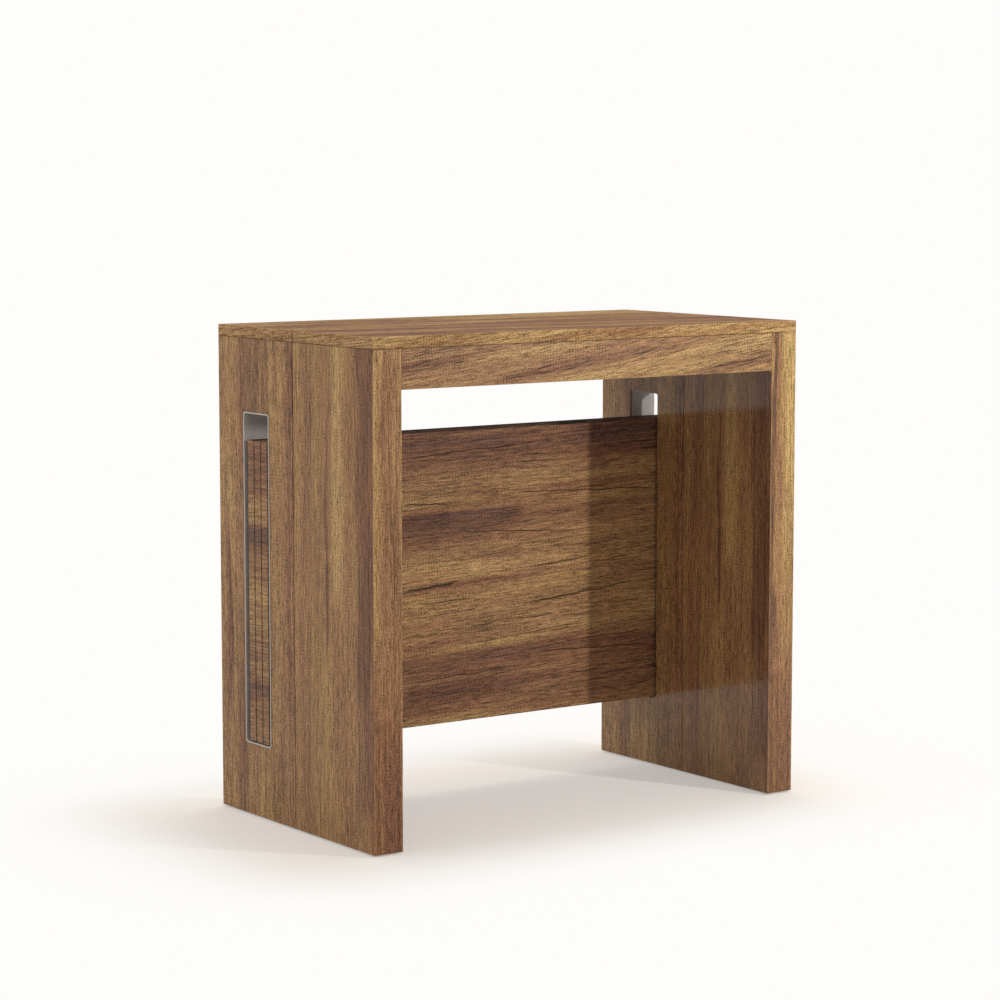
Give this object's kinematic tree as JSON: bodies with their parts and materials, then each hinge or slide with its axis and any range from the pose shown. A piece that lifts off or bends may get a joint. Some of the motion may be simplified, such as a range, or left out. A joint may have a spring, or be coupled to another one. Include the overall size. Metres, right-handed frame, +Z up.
{
  "type": "extending console table",
  "caption": "Console table that slides open on telescopic rails into a dining table, with extension leaves stored upright in slots through its rear legs.",
  "frame": {"origin": "floor level under the middle of the closed table", "axes": "+X to the right along the table, +Y to the rear, +Z up"},
  "size_m": [0.8024, 0.44, 0.76],
  "materials": {
    "wood": "semi-gloss rustic brown wood grain",
    "sleeve_metal": "satin",
    "rail_aluminium": "satin anodised",
    "nylon": "matt natural nylon",
    "dark_plastic": "matt black",
    "black_steel": "satin black",
    "zinc_steel": "bright zinc",
    "dowel_wood": "plain beech"
  },
  "bodies": {
    "rear_half": {"rail_1_left": "rail_aluminium", "rail_1_right": "rail_aluminium", "rail_1_stops": "dark_plastic", "rear_apron": "wood", "rear_cam_bolts": "zinc_steel", "rear_cam_locks": "zinc_steel", "rear_dowels": "dowel_wood", "rear_glides": "dark_plastic", "rear_hanger_screws": "zinc_steel", "rear_hangers": "zinc_steel", "rear_leg_left": "wood", "rear_leg_right": "wood", "rear_rail_screws": "zinc_steel", "rear_top": "wood", "slot_sleeve_left": "sleeve_metal", "slot_sleeve_right": "sleeve_metal"},
    "front_half": {"front_apron": "wood", "front_cam_bolts": "zinc_steel", "front_cam_locks": "zinc_steel", "front_dowels": "dowel_wood", "front_glides": "dark_plastic", "front_hanger_screws": "zinc_steel", "front_hangers": "zinc_steel", "front_leg_left": "wood", "front_leg_right": "wood", "front_rail_nuts": "zinc_steel", "front_rail_screws": "zinc_steel", "front_top": "wood", "rail_6_left": "rail_aluminium", "rail_6_right": "rail_aluminium", "rail_6_sliders": "nylon"},
    "rail_stage_2": {"rail_2_left": "rail_aluminium", "rail_2_right": "rail_aluminium", "rail_2_sliders": "nylon", "rail_2_stops": "dark_plastic", "rail_2_crossbar": "black_steel", "rail_2_screws": "zinc_steel"},
    "rail_stage_3": {"rail_3_left": "rail_aluminium", "rail_3_right": "rail_aluminium", "rail_3_sliders": "nylon", "rail_3_stops": "dark_plastic", "rail_3_crossbar": "black_steel", "rail_3_screws": "zinc_steel"},
    "rail_stage_4": {"rail_4_left": "rail_aluminium", "rail_4_right": "rail_aluminium", "rail_4_sliders": "nylon", "rail_4_stops": "dark_plastic", "rail_4_crossbar": "black_steel", "rail_4_screws": "zinc_steel"},
    "rail_stage_5": {"rail_5_left": "rail_aluminium", "rail_5_right": "rail_aluminium", "rail_5_sliders": "nylon", "rail_5_stops": "dark_plastic", "rail_5_crossbar": "black_steel", "rail_5_screws": "zinc_steel"},
    "front_leaf": {"leaf_front": "wood"},
    "middle_leaf": {"leaf_middle": "wood"},
    "rear_leaf": {"leaf_rear": "wood"}
  },
  "joints": [
    {"name": "front_slide", "type": "slide", "parent": "rear_half", "child": "front_half", "axis": [0, -1, 0], "range_m": [0, 1.414]},
    {"name": "stage_2_slide", "type": "slide", "parent": "rear_half", "child": "rail_stage_2", "axis": [0, -1, 0], "range_m": [0, 0.2828]},
    {"name": "stage_3_slide", "type": "slide", "parent": "rear_half", "child": "rail_stage_3", "axis": [0, -1, 0], "range_m": [0, 0.5656]},
    {"name": "stage_4_slide", "type": "slide", "parent": "rear_half", "child": "rail_stage_4", "axis": [0, -1, 0], "range_m": [0, 0.8484]},
    {"name": "stage_5_slide", "type": "slide", "parent": "rear_half", "child": "rail_stage_5", "axis": [0, -1, 0], "range_m": [0, 1.1312]},
    {"name": "front_leaf_slide", "type": "slide", "parent": "rear_half", "child": "front_leaf", "axis": [1, 0, 0], "range_m": [-0.75, 0.75]},
    {"name": "middle_leaf_slide", "type": "slide", "parent": "rear_half", "child": "middle_leaf", "axis": [1, 0, 0], "range_m": [-0.75, 0.75]},
    {"name": "rear_leaf_slide", "type": "slide", "parent": "rear_half", "child": "rear_leaf", "axis": [1, 0, 0], "range_m": [-0.75, 0.75]}
  ],
  "couplings": [
    {"joint": "stage_2_slide", "follows": "front_slide", "ratio": 0.2},
    {"joint": "stage_3_slide", "follows": "front_slide", "ratio": 0.4},
    {"joint": "stage_4_slide", "follows": "front_slide", "ratio": 0.6},
    {"joint": "stage_5_slide", "follows": "front_slide", "ratio": 0.8}
  ]
}
